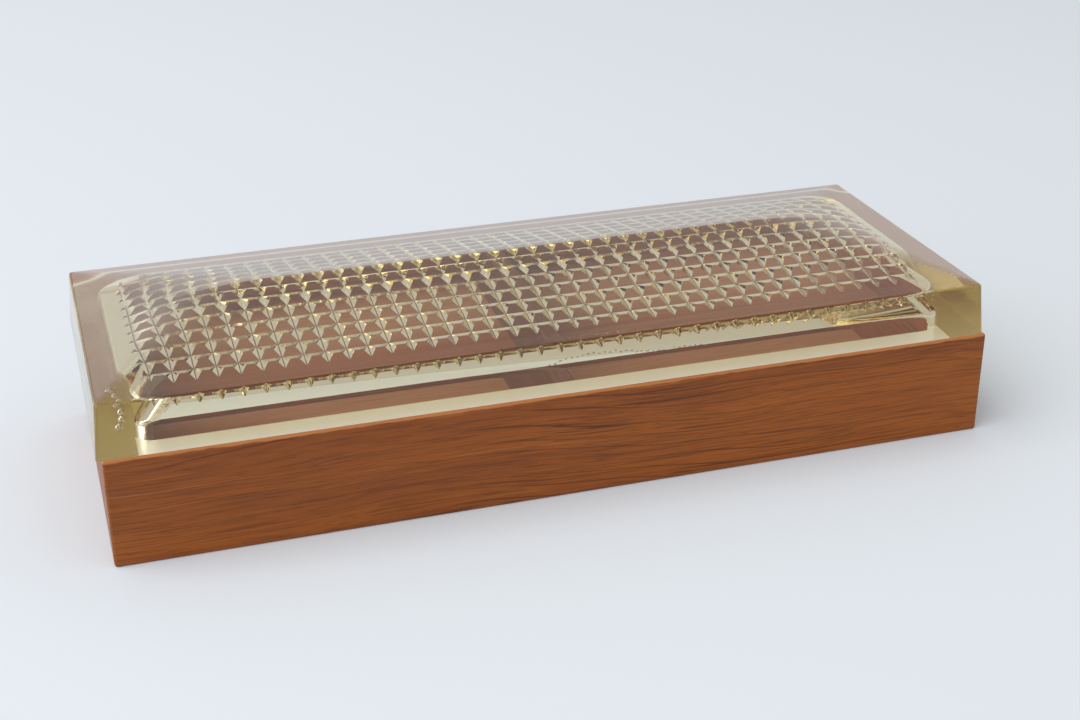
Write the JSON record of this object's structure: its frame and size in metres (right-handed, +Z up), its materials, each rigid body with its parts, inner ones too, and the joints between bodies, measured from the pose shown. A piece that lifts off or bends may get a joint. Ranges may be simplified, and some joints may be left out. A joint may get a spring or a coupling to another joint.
{
  "type": "playing card box",
  "caption": "Long mitred wooden box with a divider for card decks, under a loose lift-off lid of clear cast resin with a hipped top and a pyramid-cut recess beneath.",
  "frame": {"origin": "centre of the wooden base on the surface it stands on", "axes": "+X along the box to the right as seen from the front, +Y to the back, +Z up"},
  "size_m": [0.2212, 0.0823, 0.049],
  "materials": {
    "teak": "satin",
    "inner_wood": "satin",
    "clear_resin": "polished, clear, gone yellow with age"
  },
  "bodies": {
    "base": {"front_rail": "teak", "back_rail": "teak", "left_end": "teak", "right_end": "teak", "mitre_tongues": "inner_wood", "bottom_panel": "inner_wood", "divider": "inner_wood"},
    "lid": {"lid": "clear_resin"}
  },
  "joints": [
    {"name": "lid_lift", "type": "slide", "parent": "base", "child": "lid", "axis": [0, 0, 1], "range_m": [0, 0.06]}
  ]
}
